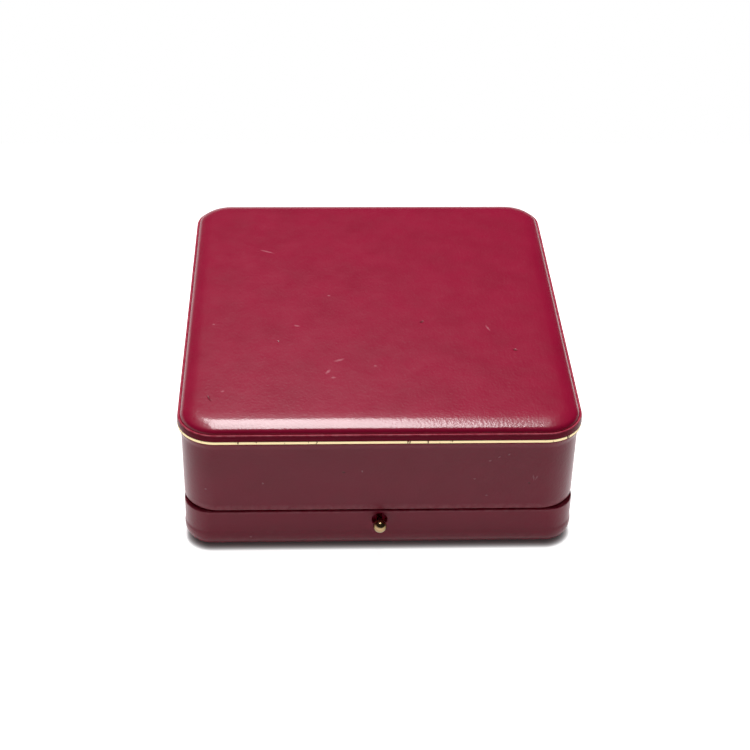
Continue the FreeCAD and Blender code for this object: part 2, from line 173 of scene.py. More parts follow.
# Hinges
pin_low, pin_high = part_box("right_hinge_pin")
HINGE_AXIS_Y = (pin_low.y + pin_high.y) / 2
HINGE_AXIS_Z = (pin_low.z + pin_high.z) / 2
HINGE_CENTRE = (pin_low.x + pin_high.x) / 2
HINGE_CENTRES = (-HINGE_CENTRE, HINGE_CENTRE)
HINGE_LENGTH = pin_high.x - pin_low.x
HINGE_PLAY = 0.00015
BARREL_ROOM = 0.0019
LEAF_ROOM = 0.00105
LEAF_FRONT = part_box("right_hinge_base_leaf")[0].y

# Push button
button_low, button_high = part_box("push_button")
BALL_RADIUS = (button_high.z - button_low.z) / 2
BALL_Y = button_low.y + BALL_RADIUS
BALL_HOLE = 0.0024
BUTTON_Z = (button_low.z + button_high.z) / 2
BALL_STEPS = 48
STEM_RADIUS = 0.0009
SPIGOT_RADIUS = 0.0006
SLIDE_THICKNESS = 0.0012
SLIDE_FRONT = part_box("latch_nut")[0].y - SLIDE_THICKNESS

# Screws
SCREW_HEAD = 0.0011
SCREW_HEAD_HEIGHT = 0.0006
SCREW_EDGE = 0.0001
SCREW_SHANK = 0.00055
SCREW_TIP = 0.0002
SCREW_TAPER = 0.0012
SCREW_LENGTH = 0.004
SLOT_WIDTH = 0.00034
SLOT_DEPTH = 0.0003
SLOT_TURN = 37.0
METAL_BEVEL = 0.00012

# Camera, as fitted to the photograph, with angles in degrees and the sensor in millimetres
CAMERA_PLACE = Vector((-0.020157, -0.438719, 0.330069))
CAMERA_TURN = 2.736
CAMERA_TILT = 35.384
CAMERA_ROLL = 1.269
CAMERA_FOCUS_SHARE = 2.160685
CAMERA_SENSOR = 36.0
CAMERA_NEAR = 0.01

# Softbox above and behind the box, a little to the left. Its side and height are angles in degrees
SOFTBOX_AIM = Vector((0.0, 0.0, 0.03))
SOFTBOX_DISTANCE = 1.2
SOFTBOX_SIDE = -2.2
SOFTBOX_HEIGHT = 75.0
SOFTBOX_WIDTH = 0.36
SOFTBOX_LENGTH = 1.0
SOFTBOX_POWER = 19.8

# Room: how strong its dim light and its white backdrop are, and how far up the backdrop is mirrored
ROOM_STRENGTHS = (0.03, 1.0)
BACKDROP_SPAN = (0.0, 0.2)
BACKDROP_LEAN = (0.18, 0.0, 1.0)
WHITE = (1.0, 1.0, 1.0, 1.0)

# Floor, with white glow added round the box. Its fade near the box's foot is painted shadow, giving the
# contact shadow its width and falloff
FLOOR_SPAN = 0.4
FLOOR_COLOUR = (0.7, 0.7, 0.7, 1.0)
FLOOR_GLOW = (0.02, 0.97)
# Where the glow fades near the box, and how steeply: the painted contact shadow
PAINTED_SHADOW_SPAN = (-0.004, 0.0005)
PAINTED_SHADOW_POWER = 4.0

# Leather
LEATHER_COLOUR = (0.29, 0.0015, 0.031, 1.0)
LEATHER_DEEP = (0.257, 0.001, 0.026, 1.0)
# Pale edge colour: wear, and a painted highlight on the bead and the lid's foot
LEATHER_WORN_AND_HIGHLIGHT = (0.45, 0.10, 0.13, 1.0)
LEATHER_PIT = (0.10, 0.002, 0.008, 1.0)
LEATHER_SCUFF = (0.46, 0.13, 0.17, 1.0)
MOTTLE_SIZE = 0.011
MOTTLE_DETAIL = 4.0
MOTTLE_RANGE = (0.35, 0.75)
WEAR_SIZE = 0.002
WEAR_RANGE = (0.35, 0.65)
WEAR_SHARES = (0.25, 0.8)
GRAIN_SIZE = 0.00075
GRAIN_HEIGHT = 0.000025
PORE_SIZE = 0.00045
PORE_HEIGHT = 0.00002
CREASE_SIZE = 0.0009
CREASE_HEIGHT = 0.00003
CREASE_TURN = 40.0
CREASE_STRETCH = (1.0, 0.22, 1.0)
CREASE_FIELD = (-0.02, 0.045)
CREASE_SHARES = (0.1, 1.0)
FINE_DETAIL = 2.0
GLOSS_SIZE = 0.005
GLOSS_RANGE = (0.3, 0.75)
LEATHER_ROUGHNESS = (0.3, 0.34)
COAT_ROUGHNESS = 0.13
TOP_COAT = 0.42
TOP_SPECULAR = 0.38
WALL_COAT = 0.0
WALL_SPECULAR = 0.28
LIP_COAT = 0.0
LIP_SPECULAR = 0.08

# Marks in the leather: place on its face, turn, length and width
MARK_REACH = 0.004
MARK_SOFT = (0.35, 1.0)
NOISE_MIDDLE = (0.5, 0.5, 0.5)
MARK_RAGGED = 0.0006
MARK_RAGGED_SIZE = 0.0008
PALE_STRENGTH = 0.7
PIT_STRENGTH = 0.85
PIT_DEPTH = 0.00006
TOP_SCUFFS = (
    (-0.0350, 0.0323, -26.0, 0.0062, 0.0009),
    (-0.0145, 0.0047, 0.0, 0.0012, 0.0009),
    (-0.0510, -0.0119, 30.0, 0.0012, 0.0009),
    (-0.0248, -0.0129, -20.0, 0.0026, 0.0010),
    (-0.0118, -0.0320, 25.0, 0.0040, 0.0012),
    (-0.0153, -0.0381, 60.0, 0.0030, 0.0011),
    (-0.0137, -0.0411, 10.0, 0.0018, 0.0010),
    (-0.0008, -0.0351, 0.0, 0.0010, 0.0010),
    (0.0354, -0.0146, -70.0, 0.0040, 0.0007),
    (-0.0467, -0.0479, 15.0, 0.0014, 0.0009),
)
TOP_PITS = (
    (0.0147, -0.0110, 50.0, 0.0020, 0.0012),
    (0.0428, -0.0269, -30.0, 0.0019, 0.0012),
    (-0.0505, -0.0514, -66.0, 0.0040, 0.0007),
    (-0.0304, -0.0217, 0.0, 0.0009, 0.0008),
)
FRONT_SCUFFS = (
    (-0.0349, 0.0258, 0.0, 0.0008, 0.0010),
    (-0.0519, 0.0234, 20.0, 0.0010, 0.0008),
    (-0.0055, 0.0301, 0.0, 0.0008, 0.0009),
    (0.0455, 0.0272, -80.0, 0.0030, 0.0006),
    (0.0464, 0.0271, 70.0, 0.0024, 0.0006),
    (0.0322, 0.0337, 25.0, 0.0012, 0.0007),
    (0.0348, 0.0350, 25.0, 0.0012, 0.0007),
    (0.0377, 0.0360, 25.0, 0.0012, 0.0007),
    (0.0279, 0.0270, 0.0, 0.0010, 0.0008),
    (0.0318, 0.0205, 0.0, 0.0010, 0.0008),
    (-0.0388, 0.0052, 0.0, 0.0010, 0.0010),
)
FRONT_PITS = (
    (0.0443, 0.0252, 0.0, 0.0011, 0.0009),
    (-0.0109, 0.0298, 0.0, 0.0016, 0.0010),
    (-0.0230, 0.0033, 20.0, 0.0030, 0.0009),
    (-0.0108, 0.0034, 0.0, 0.0016, 0.0008),
)

# Metals
BRASS = (0.78, 0.57, 0.25, 1.0)
BRASS_DULL = (0.5, 0.33, 0.12, 1.0)
BRASS_ROUGHNESS = (0.12, 0.24)
# A darker copy of the brass for the ball alone: painted shade, dimming what the ball mirrors of the bright
# floor
BALL_BRASS_SHADED = (0.36, 0.25, 0.13, 1.0)
BALL_BRASS_SHADED_DULL = (0.26, 0.18, 0.08, 1.0)
BALL_BRASS_ROUGHNESS = (0.2, 0.28)
# Near-black brass for the latch's inner pieces: painted shade for the recess behind the push button
RECESS_SHADE_BRASS = (0.09, 0.05, 0.025, 1.0)
RECESS_SHADE_BRASS_DULL = (0.05, 0.025, 0.015, 1.0)
RECESS_SHADE_BRASS_ROUGHNESS = (0.45, 0.6)
RECESS_SHADE_NODES = ("latch_case", "latch_slide", "latch_nut")
STEEL = (0.5, 0.5, 0.52, 1.0)
STEEL_DULL = (0.3, 0.3, 0.32, 1.0)
STEEL_ROUGHNESS = (0.3, 0.44)
TARNISH_SIZE = 0.0025
TARNISH_DETAIL = 5.0
TARNISH_RANGE = (0.4, 0.75)
POLISH_SIZE = 0.001
POLISH_RANGE = (0.3, 0.8)
RUB_SIZE = 0.0003
RUB_STRETCH = (0.1, 1.0, 1.0)
RUB_HEIGHT = 0.000003
GILT = (0.78, 0.63, 0.36, 1.0)
GILT_NICK = (0.2, 0.08, 0.03, 1.0)
GILT_METAL = (0.85, 0.2)
GILT_ROUGHNESS = 0.4
GILT_GRAIN_SIZE = 0.0005
GILT_GRAIN_HEIGHT = 0.00003
NICK_SIZE = 0.0011
NICK_STRETCH = (1.0, 1.0, 0.3)
NICK_RANGE = (0.64, 0.69)
NICK_DETAIL = 5.0

# Cloths and wood
VELVET = (0.06, 0.003, 0.008, 1.0)
VELVET_SHADE = (0.035, 0.002, 0.005, 1.0)
VELVET_SHEEN = 0.6
VELVET_ROUGHNESS = 0.9
VELVET_WEAVE = 0.0003
SATIN = (0.72, 0.6, 0.42, 1.0)
SATIN_SHADE = (0.66, 0.53, 0.36, 1.0)
SATIN_SHEEN = 0.25
SATIN_ROUGHNESS = 0.38
SATIN_WEAVE = 0.0002
FELT = (0.02, 0.006, 0.008, 1.0)
FELT_SHADE = (0.012, 0.004, 0.005, 1.0)
FELT_SHEEN = 0.3
FELT_ROUGHNESS = 0.95
FELT_WEAVE = 0.0005
SHEEN_ROUGHNESS = 0.35
TONE_SIZE = 0.006
TONE_RANGE = (0.35, 0.7)
TONE_DETAIL = 4.0
WEAVE_HEIGHT_SHARE = 0.3
WOOD = (0.5, 0.33, 0.18, 1.0)
WOOD_SHADE = (0.33, 0.2, 0.1, 1.0)
WOOD_GRAIN_SIZE = 0.0012
WOOD_GRAIN_STRETCH = (0.08, 1.0, 1.0)
WOOD_GRAIN_RANGE = (0.35, 0.65)
WOOD_GRAIN_HEIGHT = 0.00003
WOOD_DETAIL = 5.0
WOOD_ROUGHNESS = 0.65


# Rings and sweeps

def ring(inset, z, radius):
    """Points round the box at one height, from the middle of the front left corner."""
    centre_x = HALF_X - inset - radius
    centre_y = HALF_Y - inset - radius
    half_corner = math.radians(RIGHT_ANGLE / 2)
    points = []
    for side, corner in enumerate(CORNERS):
        following = CORNERS[(side + 1) % len(CORNERS)]
        start = Vector((corner[0] * centre_x, corner[1] * centre_y, z))
        end = Vector((following[0] * centre_x, following[1] * centre_y, z))
        facing = math.radians(RIGHT_ANGLE * (side - 1))
        outward = Vector((math.cos(facing), math.sin(facing), 0)) * radius
        for step in range(ARC_STEPS):
            turn = facing - half_corner * (1 - step / ARC_STEPS)
            points.append(start + Vector((math.cos(turn), math.sin(turn), 0)) * radius)
        for step in range(SIDE_STEPS):
            points.append(start.lerp(end, step / SIDE_STEPS) + outward)
        for step in range(ARC_STEPS):
            turn = facing + half_corner * step / ARC_STEPS
            points.append(end + Vector((math.cos(turn), math.sin(turn), 0)) * radius)
    return points


def rounding(inset, z, radius, start, end, steps, wear_and_highlight=0):
    """Stations along an arc, by tilt: 0 faces up, 90 outwards and 180 down."""
    stations = []
    for step in range(steps + 1):
        tilt = math.radians(start + (end - start) * step / steps)
        stations.append((inset - radius * math.sin(tilt), z + radius * math.cos(tilt), wear_and_highlight))
    return stations


def straight(start, end, steps):
    """Stations between two points of a profile, without its ends."""
    stations = []
    for step in range(1, steps):
        share = step / steps
        inset = start[0] + (end[0] - start[0]) * share
        z = start[1] + (end[1] - start[1]) * share
        stations.append((inset, z, 0))
    return stations


def concentric(profile, inset, radius):
    """Corner radii about one centre for a whole profile, from the radius at one inset."""
    return [radius - (station[0] - inset) for station in profile]


def lattice(bm, border):
    """Fills a ring with a lattice of four-sided faces."""
    side = len(border) // len(CORNERS)
    opposite = len(border) - side
    rows = []
    for j in range(side + 1):
        row = []
        for i in range(side + 1):
            if j == 0:
                row.append(border[i])
            elif i == side:
                row.append(border[side + j])
            elif j == side:
                row.append(border[opposite - i])
            elif i == 0:
                row.append(border[-j])
            else:
                place = Vector((border[i].co.x, border[side + j].co.y, border[i].co.z))
                row.append(bm.verts.new(place))
        rows.append(row)
    for low, high in zip(rows, rows[1:]):
        for i in range(side):
            bm.faces.new((low[i], low[i + 1], high[i + 1], high[i]))


def join_rings(bm, one, other):
    """Faces between two rings of the same number of points."""
    for i in range(len(one)):
        following = (i + 1) % len(one)
        bm.faces.new((one[i], one[following], other[following], other[i]))


def sweep(profile, corners, filled=False):
    """A closed mesh that follows a profile of (inset, height, share of pale edge colour) round the box;
    that colour is wear, and on the bead and the lid's foot also a painted highlight.
    """
    bm = bmesh.new()
    wear_and_highlight_layer = bm.verts.layers.float.new("wear_and_highlight")
    rings = []
    for (inset, z, wear_and_highlight), corner in zip(profile, corners):
        verts = [bm.verts.new(point) for point in ring(inset, z, corner)]
        for vert in verts:
            vert[wear_and_highlight_layer] = wear_and_highlight
        rings.append(verts)
    for one, other in zip(rings, rings[1:]):
        join_rings(bm, one, other)
    if filled:
        lattice(bm, rings[0])
        lattice(bm, rings[-1])
    else:
        join_rings(bm, rings[-1], rings[0])
    bmesh.ops.recalc_face_normals(bm, faces=bm.faces)
    return bm


def uneven(bm, depth, size):
    """Presses the surface in by up to a depth, in soft hollows of about that size."""
    bm.normal_update()
    moves = []
    for vert in bm.verts:
        hollow = (noise.noise(vert.co / size) - 1) / 2
        moves.append(vert.normal * hollow * depth)
    for vert, move in zip(bm.verts, moves):
        vert.co += move


def smooth_piece(mesh, name):
    mesh.shade_smooth()
    mesh.set_sharp_from_angle(angle=SMOOTH_ANGLE)
    piece = bpy.data.objects.new(name, mesh)
    bpy.context.scene.collection.objects.link(piece)
    return piece


def finish_mesh(bm, name):
    mesh = bpy.data.meshes.new(name)
    bm.to_mesh(mesh)
    bm.free()
    return smooth_piece(mesh, name)


def settle(piece):
    """Applies a piece's modifiers, by making it anew from its final mesh."""
    graph = bpy.context.evaluated_depsgraph_get()
    mesh = bpy.data.meshes.new_from_object(piece.evaluated_get(graph))
    name = piece.name
    bpy.data.objects.remove(piece)
    return smooth_piece(mesh, name)


def dress(piece, material, body, node):
    """Gives a piece its material, hangs it on its body and hides the solid it stands for."""
    piece.data.materials.clear()
    piece.data.materials.append(material)
    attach(piece, body)
    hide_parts(node)
    return piece


# Cutters

def box_cutter(low, high):
    bm = bmesh.new()
    low = Vector(low)
    high = Vector(high)
    size = high - low
    place = Matrix.Translation((low + high) / 2) @ Matrix.Diagonal(size).to_4x4()
    bmesh.ops.create_cube(bm, size=1, matrix=place)
    return bm


def rod_cutter(start, end, radius):
    bm = bmesh.new()
    start = Vector(start)
    end = Vector(end)
    along = end - start
    place = Matrix.Translation((start + end) / 2) @ along.to_track_quat("Z", "Y").to_matrix().to_4x4()
    bmesh.ops.create_cone(
        bm, cap_ends=True, segments=ROD_SIDES, radius1=radius, radius2=radius,
        depth=along.length, matrix=place)
    return bm


def cut(piece, cutters):
    """Takes the cutters out of a piece for good."""
    made = []
    for index, bm in enumerate(cutters):
        cutter = finish_mesh(bm, "cutter_" + str(index))
        made.append(cutter)
        boolean = piece.modifiers.new("cut", "BOOLEAN")
        boolean.operation = "DIFFERENCE"
        boolean.solver = "EXACT"
        boolean.object = cutter
    piece = settle(piece)
    for cutter in made:
        bpy.data.objects.remove(cutter)
    return piece


def hinge_cutters(low, high):
    """Room for the hinges' leaves between two heights, and for their barrels."""
    cutters = []
    for centre in HINGE_CENTRES:
        left = centre - HINGE_LENGTH / 2 - HINGE_PLAY
        right = centre + HINGE_LENGTH / 2 + HINGE_PLAY
        cutters.append(box_cutter((left, LEAF_FRONT, low), (right, HINGE_AXIS_Y + OVERRUN, high)))
        start = (left, HINGE_AXIS_Y, HINGE_AXIS_Z)
        end = (right, HINGE_AXIS_Y, HINGE_AXIS_Z)
        cutters.append(rod_cutter(start, end, BARREL_ROOM))
    return cutters


# Leather covers

def crown(depth):
    """Stations from the flat top down to the crease, on a skin that lies some depth in."""
    inset = CREASE_INSET
    for radius, start, end in zip(CROWN_RADII, CROWN_TILTS, CROWN_TILTS[1:]):
        inset += radius * (math.sin(math.radians(end)) - math.sin(math.radians(start)))
    z = lip_high.z
    stations = []
    for radius, start, end in zip(CROWN_RADII, CROWN_TILTS, CROWN_TILTS[1:]):
        tilt = math.radians(start)
        centre_inset = inset + radius * math.sin(tilt)
        centre_z = z - radius * math.cos(tilt)
        stations += rounding(centre_inset, centre_z, radius - depth, start, end, CROWN_STEPS)[:-1]
        inset, z, wear_and_highlight = rounding(centre_inset, centre_z, radius, start, end, 1)[-1]
    stations += rounding(centre_inset, centre_z, radius - depth, start, end, 1)[-1:]
    return stations


def lip():
    """Stations from the bead beside the crease round the lip to the turned edge under it."""
    upper, lower = LIP_TILTS
    centre_inset = LIP_RADIUS * math.sin(math.radians(lower))
    centre_z = GILT_HEAD - LIP_RADIUS * math.cos(math.radians(lower))
    reach = LIP_RADIUS - BEAD_RADIUS
    bead_inset = centre_inset - reach * math.sin(math.radians(upper))
    bead_z = centre_z + reach * math.cos(math.radians(upper))
    # The bead takes the full pale edge colour: wear and a painted highlight line along the crease
    stations = rounding(bead_inset, bead_z, BEAD_RADIUS, BEAD_TILT, upper, ROUND_STEPS, BEAD_WEAR_AND_HIGHLIGHT)
    stations += rounding(centre_inset, centre_z, LIP_RADIUS, upper, lower, ROUND_STEPS)[1:]
    stations.append((GILT_DEPTH, GILT_HEAD, 0))
    stations.append((GILT_DEPTH, GILT_FOOT, 0))
    stations.append((0, GILT_FOOT, LIP_WEAR))
    stations += rounding(
        LIP_ROUNDING, lip_low.z + LIP_ROUNDING, LIP_ROUNDING, RIGHT_ANGLE, HALF_TURN, ROUND_STEPS, LIP_WEAR)
    stations.append((LID_SETBACK + LEATHER, lip_low.z, 0))
    return stations


def lid_top_cover():
    """Leather over the crowned top and round the lip, with a groove for the gilt line."""
    profile = crown(0) + lip() + list(reversed(crown(LEATHER)))
    bm = sweep(profile, concentric(profile, 0, CORNER_RADIUS), filled=True)
    uneven(bm, LEATHER_WAVE, LEATHER_WAVE_SIZE)
    return finish_mesh(bm, "lid_top_cover")


def dull_lip(piece, material):
    """Gives the bead and the lip below it their own, duller leather."""
    bead_top = max(z for inset, z, wear_and_highlight in lip())
    piece.data.materials.append(material)
    for face in piece.data.polygons:
        face.material_index = int(face.center.z < bead_top)


def stepped(upper, lower, middle, height):
    """Stations down a soft step from one inset to another."""
    stations = []
    for step in range(STRAIGHT_STEPS + 1):
        share = step / STRAIGHT_STEPS
        inset = upper + (lower - upper) * (1 - math.cos(math.pi * share)) / 2
        stations.append((inset, middle + height / 2 - height * share, 0))
    return stations


def lid_wall_cover():
    """Leather round the lid's wall, turned under its lower edge, with room for the hinges."""
    top = wall_high.z
    bottom = wall_low.z
    profile = stepped(LID_SETBACK - FLARE_DEPTH, LID_SETBACK, top - FLARE_HEIGHT / 2, FLARE_HEIGHT)
    edge = LID_SETBACK + RIM_ROUNDING
    edge_z = bottom + RIM_ROUNDING
    # The foot takes most of the pale edge colour: wear and a painted highlight line above the seam
    lower = rounding(edge, edge_z, RIM_ROUNDING, RIGHT_ANGLE, HALF_TURN, ROUND_STEPS, FOOT_WEAR_AND_HIGHLIGHT)
    profile += straight(profile[-1], lower[0], STRAIGHT_STEPS)
    profile += lower
    corners = concentric(profile, 0, CORNER_RADIUS)
    fold = [(LID_INNER, bottom, 0), (LID_INNER, bottom + LEATHER, 0)]
    corners += [INNER_CORNER] * len(fold)
    inside = [(LID_SETBACK + LEATHER, bottom + LEATHER, 0), (LID_SETBACK + LEATHER, top, 0)]
    corners += concentric(inside, 0, CORNER_RADIUS)
    bm = sweep(profile + fold + inside, corners)
    uneven(bm, LEATHER_WAVE, LEATHER_WAVE_SIZE)
    piece = finish_mesh(bm, "lid_wall_cover")
    return cut(piece, hinge_cutters(bottom - OVERRUN, HINGE_AXIS_Z + LEAF_ROOM))


def base_cover():
    """Leather round the base, turned over its rim and under its bottom, with room for the metal pieces."""
    top = base_high.z
    bottom = base_low.z
    edge = BASE_SETBACK + BASE_EDGE_RADIUS
    edge_z = bottom + BASE_EDGE_RADIUS
    waist = BASE_SETBACK + STEP_DEPTH
    rim_z = top - RIM_ROUNDING
    rim = rounding(waist + RIM_ROUNDING, rim_z, RIM_ROUNDING, 0, RIGHT_ANGLE, ROUND_STEPS, RIM_WEAR)
    step = stepped(waist, BASE_SETBACK, STEP_Z, STEP_HEIGHT)
    lower = rounding(edge, edge_z, BASE_EDGE_RADIUS, RIGHT_ANGLE, HALF_TURN, BASE_EDGE_STEPS, BOTTOM_WEAR)
    outside = rim + straight(rim[-1], step[0], STRAIGHT_STEPS) + step + lower
    inside = rounding(edge, edge_z, BASE_EDGE_RADIUS - LEATHER, HALF_TURN, RIGHT_ANGLE, BASE_EDGE_STEPS)
    inside.append((waist + LEATHER, top - LEATHER, 0))
    panel_edge = PANEL_INSET - PANEL_CLEARANCE
    under = [(panel_edge, bottom, 0), (panel_edge, bottom + LEATHER, 0)]
    fold = [(BASE_INNER, top - LEATHER, 0), (BASE_INNER, top, 0)]
    corners = concentric(outside, BASE_SETBACK, BASE_CORNER) + [PANEL_CORNER] * len(under)
    corners += concentric(inside, BASE_SETBACK, BASE_CORNER) + [INNER_CORNER] * len(fold)
    bm = sweep(outside + under + inside + fold, corners)
    uneven(bm, LEATHER_WAVE, LEATHER_WAVE_SIZE)
    piece = finish_mesh(bm, "base_cover")
    strike_low, strike_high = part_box("strike_plate")
    cutters = hinge_cutters(HINGE_AXIS_Z - LEAF_ROOM, top + OVERRUN)
    cutters.append(box_cutter(strike_low, strike_high + UP * OVERRUN))
    hole_start = (0, BALL_Y - OVERRUN, BUTTON_Z)
    hole_end = (0, BASE_INNER - HALF_Y, BUTTON_Z)
    cutters.append(rod_cutter(hole_start, hole_end, BALL_HOLE))
    return cut(piece, cutters)


def gilt_strip():
    """The gilt line, in the groove of the lip."""
    profile = [(GILT_DEPTH, GILT_HEAD, 0), (GILT_ROUNDING, GILT_HEAD, 0)]
    profile += [(0, GILT_HEAD - GILT_ROUNDING, 0), (0, GILT_FOOT + GILT_ROUNDING, 0)]
    profile += [(GILT_ROUNDING, GILT_FOOT, 0), (GILT_DEPTH, GILT_FOOT, 0)]
    return finish_mesh(sweep(profile, concentric(profile, 0, CORNER_RADIUS)), "gilt_strip")


# Linings and platform

def slab(name, inset, low, high, edge, corner):
    """A filled plate with rounded upper and lower edges."""
    profile = rounding(inset + edge, high - edge, edge, 0, RIGHT_ANGLE, ROUND_STEPS)
    profile += rounding(inset + edge, low + edge, edge, RIGHT_ANGLE, HALF_TURN, ROUND_STEPS)
    return finish_mesh(sweep(profile, concentric(profile, inset, corner), filled=True), name)


def lining_band(name, inset, low, high):
    """Cloth on the inside of a wall, with soft upper and lower edges."""
    edge = LINING / 2
    middle = inset + edge
    profile = rounding(middle, high - edge, edge, -RIGHT_ANGLE, RIGHT_ANGLE, ROUND_STEPS)
    lower = rounding(middle, low + edge, edge, RIGHT_ANGLE, HALF_TURN + RIGHT_ANGLE, ROUND_STEPS)
    outer = straight(profile[-1], lower[0], STRAIGHT_STEPS)
    inner = straight(lower[-1], profile[0], STRAIGHT_STEPS)
    profile = profile + outer + lower + inner
    bm = sweep(profile, concentric(profile, inset, INNER_CORNER))
    uneven(bm, CLOTH_WAVE, CLOTH_WAVE_SIZE)
    return finish_mesh(bm, name)


def base_lining():
    low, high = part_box("base_wall_lining")
    piece = lining_band("base_lining", BASE_INNER, low.z, high.z)
    case_low, case_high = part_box("latch_case")
    return cut(piece, [box_cutter(case_low, case_high + UP * OVERRUN)])


def floor_lining():
    low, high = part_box("base_floor_lining")
    return slab(
        "floor_lining", BASE_INNER + LINING, low.z, high.z, FLOOR_CLOTH_EDGE, INNER_CORNER - LINING)


def lid_lining():
    low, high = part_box("lid_wall_lining")
    piece = lining_band("lid_lining", LID_INNER, low.z, high.z)
    keeper_low, keeper_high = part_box("keeper")
    margin = Vector((KEEPER_PLAY, KEEPER_PLAY, KEEPER_PLAY))
    return cut(piece, [box_cutter(keeper_low - margin, keeper_high + margin)])


def under_panel():
    low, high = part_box("underside_panel")
    return slab("under_panel", PANEL_INSET, low.z, high.z, PANEL_ROUNDING, PANEL_CORNER)


def platform():
    """Velvet from the base's wall to the bracelet's groove, with room for the latch's case."""
    low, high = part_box("velvet_platform")
    inset = BASE_INNER + LINING + PAD_CLEARANCE
    corner = INNER_CORNER - LINING - PAD_CLEARANCE
    edge = PLATFORM_ROUNDING
    outer = [(inset, low.z, 0)]
    outer += rounding(inset + edge, high.z - edge, edge, RIGHT_ANGLE, 0, ROUND_STEPS)
    inner = rounding(GROOVE_INSET - edge, high.z - edge, edge, 0, -RIGHT_ANGLE, ROUND_STEPS)
    inner.append((GROOVE_INSET, low.z, 0))
    top = straight(outer[-1], inner[0], STRAIGHT_STEPS)
    corners = [corner] * len(outer)
    for step in range(1, STRAIGHT_STEPS):
        corners.append(corner + (GROOVE_CORNER + edge - corner) * step / STRAIGHT_STEPS)
    corners += concentric(inner, GROOVE_INSET, GROOVE_CORNER)
    bm = sweep(outer + top + inner, corners)
    uneven(bm, CLOTH_WAVE, CLOTH_WAVE_SIZE)
    piece = finish_mesh(bm, "platform")
    case_low, case_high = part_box("latch_case")
    play = Vector((PAD_CLEARANCE, PAD_CLEARANCE, 0))
    tall = UP * OVERRUN
    return cut(piece, [box_cutter(case_low - play - tall, case_high + play + tall)])


# Pads

def edge_distances(place, inset):
    """How far a point lies inside the sides of a pad, along X and along Y."""
    return HALF_X - inset - abs(place.x), HALF_Y - inset - abs(place.y)


def crowned(piece, inset, held_z):
    """Lifts the free side of a pad towards its middle."""
    for vert in piece.data.vertices:
        along_x, along_y = edge_distances(vert.co, inset)
        shares = [min(1, max(0, distance) / (HALF_X - inset)) for distance in (along_x, along_y)]
        rise = PAD_CROWN * math.sin(shares[0] * math.pi / 2) * math.sin(shares[1] * math.pi / 2)
        if abs(vert.co.z - held_z) > PAD_EDGE:
            vert.co.z += math.copysign(rise, vert.co.z - held_z)
    return piece


def swell(piece, held_z):
    """Swells a pad by cloth simulation, with the points near its mounting height held."""
    scene = bpy.context.scene
    remesh = piece.modifiers.new("remesh", "REMESH")
    remesh.mode = "VOXEL"
    remesh.voxel_size = PAD_VOXEL
    piece = settle(piece)
    mesh = piece.data
    held = [vert.index for vert in mesh.vertices if abs(vert.co.z - held_z) < PAD_VOXEL]
    piece.vertex_groups.new(name="held").add(held, FULL, "REPLACE")
    modifier = piece.modifiers.new("cloth", "CLOTH")
    settings = modifier.settings
    settings.mass = PAD_MASS
    settings.use_pressure = True
    settings.uniform_pressure_force = PAD_PRESSURE
    settings.vertex_group_mass = "held"
    settings.effector_weights.gravity = 0
    for step in range(1, PAD_FRAMES + 1):
        scene.frame_set(step)
    swollen = piece.evaluated_get(bpy.context.evaluated_depsgraph_get()).to_mesh()
    moves = [new.co - old.co for new, old in zip(swollen.vertices, mesh.vertices)]
    piece.modifiers.remove(modifier)
    scene.frame_set(1)
    for vert, move in zip(mesh.vertices, moves):
        vert.co += move * (PAD_CAP / max(move.length, PAD_CAP))
    piece.vertex_groups.clear()
    piece.modifiers.new("subdivision", "SUBSURF")
    return settle(piece)


def gathered(piece, inset, held_z):
    """Draws the free side of a pad into small folds that fade away from its edges."""
    wave = 2 * math.pi / GATHER_LENGTH
    for vert in piece.data.vertices:
        along_x, along_y = edge_distances(vert.co, inset)
        shift = noise.noise(vert.co / GATHER_LENGTH) * math.pi
        fold = math.exp(-(along_x / GATHER_REACH) ** 2) * math.sin(vert.co.y * wave + shift)
        fold += math.exp(-(along_y / GATHER_REACH) ** 2) * math.sin(vert.co.x * wave + shift)
        if abs(vert.co.z - held_z) > PAD_VOXEL:
            vert.co.z += GATHER_DEPTH * fold
    return piece


def island():
    """The padded island that a bracelet lies round."""
    low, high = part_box("bracelet_pad")
    inset = BRACELET_INSET + PAD_SHRINK
    piece = slab("island", inset, low.z, high.z - PAD_SHRINK - PAD_CROWN, PAD_EDGE, BRACELET_CORNER)
    return swell(crowned(piece, inset, low.z), low.z)


def ceiling_pad():
    """The padded panel in the top of the lid, with its cloth gathered at the edges."""
    low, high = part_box("lid_pad")
    inset = LID_INNER + LINING + PAD_CLEARANCE + PAD_SHRINK
    piece = slab("ceiling_pad", inset, low.z + PAD_SHRINK + PAD_CROWN, high.z, PAD_EDGE, INNER_CORNER)
    piece = swell(crowned(piece, inset, high.z), high.z)
    return gathered(piece, inset, high.z)


# Metal pieces

def turned(bm, profile, centre, axis, sides):
    """Adds a turned solid from stations of (distance along the axis, radius)."""
    place = Matrix.Translation(centre) @ axis.to_track_quat("Z", "Y").to_matrix().to_4x4()
    rings = []
    for distance, radius in profile:
        verts = []
        for step in range(sides):
            turn = 2 * math.pi * step / sides
            point = Vector((radius * math.cos(turn), radius * math.sin(turn), distance))
            verts.append(bm.verts.new(place @ point))
        rings.append(verts)
    for one, other in zip(rings, rings[1:]):
        join_rings(bm, one, other)
    bm.faces.new(rings[0])
    bm.faces.new(rings[-1])
    bmesh.ops.recalc_face_normals(bm, faces=bm.faces)


